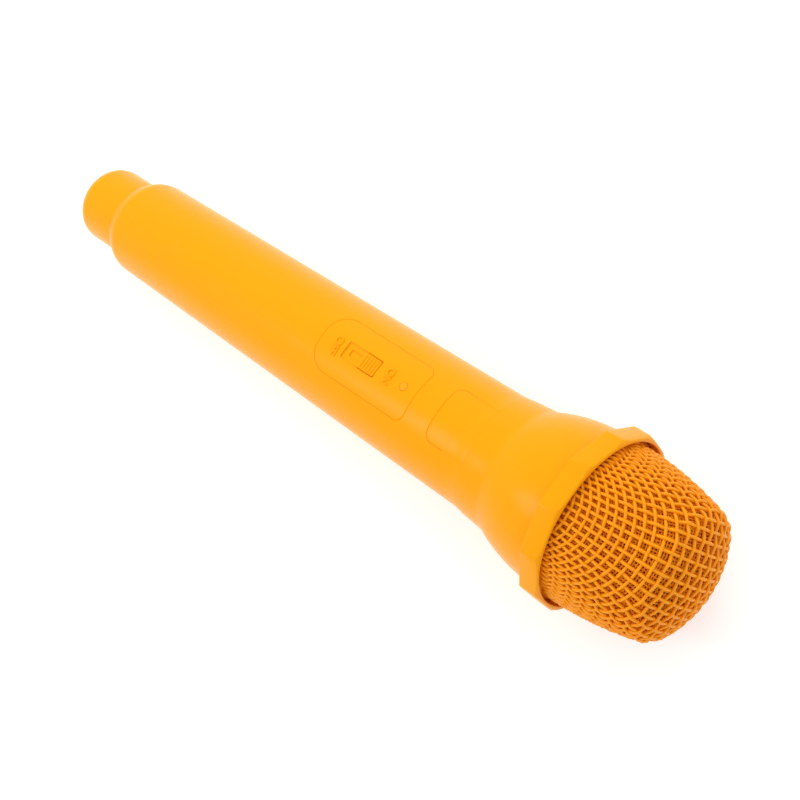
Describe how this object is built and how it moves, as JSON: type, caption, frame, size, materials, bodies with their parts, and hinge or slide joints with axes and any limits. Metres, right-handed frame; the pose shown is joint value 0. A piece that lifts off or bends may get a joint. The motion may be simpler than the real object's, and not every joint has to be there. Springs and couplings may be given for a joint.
{
  "type": "toy microphone",
  "caption": "Toy hand microphone with a wire grille, flared collar with flats, tapered battery handle with a slide switch plate, and a narrower tail cap.",
  "frame": {"origin": "centre of the tail cap's flat end face, on the long axis", "axes": "+X along the long axis from the tail end to the grille's nose; +Z out through the middle of the switch plate; +Y completes the right-handed set; the battery door is on the -Z side"},
  "size_m": [0.2445, 0.0498, 0.0498],
  "materials": {
    "gloss_orange": "glossy yellow-orange moulding, lightly polished",
    "painted_mesh": "woven steel wire painted orange, glossy",
    "dark_moulding": "matt black inner moulding",
    "green_board": "glass-fibre board, green lacquer",
    "switch_shell": "bright pressed steel can",
    "zinc_screw": "bright zinc-plated steel",
    "nickel_spring": "nickel-plated spring steel",
    "cell_jacket": "plain glossy cell jacket",
    "clear_lens": "clear orange-tinted plastic",
    "lead_cover": "plain cable cover",
    "black_rubber": "matt black rubber"
  },
  "bodies": {
    "handle": {"barrel": "gloss_orange", "tail_cap": "gloss_orange", "bell": "gloss_orange", "control_panel": "gloss_orange", "lamp_lens": "clear_lens", "window_tile": "gloss_orange", "grille_mesh": "painted_mesh", "grille_base": "gloss_orange", "chassis": "dark_moulding", "circuit_board": "green_board", "board_screws": "zinc_screw", "slide_switch": "switch_shell", "indicator_lamp": "clear_lens", "radio_module": "switch_shell", "battery_left": "cell_jacket", "battery_right": "cell_jacket", "contact_link": "nickel_spring", "positive_terminal": "nickel_spring", "negative_terminal": "nickel_spring", "battery_leads": "lead_cover", "aerial_rod": "nickel_spring", "aerial_lead": "lead_cover", "capsule": "switch_shell", "capsule_boot": "black_rubber", "capsule_leads": "lead_cover"},
    "switch_slider": {"switch_knob": "gloss_orange", "switch_lever": "dark_moulding"},
    "battery_door": {"battery_door": "gloss_orange"},
    "door_screw": {"door_screw": "zinc_screw"}
  },
  "joints": [
    {"name": "switch_slide", "type": "slide", "parent": "handle", "child": "switch_slider", "axis": [1, 0, 0], "range_m": [-0.006, 0]},
    {"name": "battery_door_swing", "type": "hinge", "parent": "handle", "child": "battery_door", "pos_m": [0.1, 0, -0.01641], "axis": [0, -1, 0], "range_deg": [0, 60]},
    {"name": "door_screw_turn", "type": "hinge", "parent": "battery_door", "child": "door_screw", "pos_m": [0.041, 0, -0.0156], "axis": [0, 0, 1], "continuous": true}
  ]
}
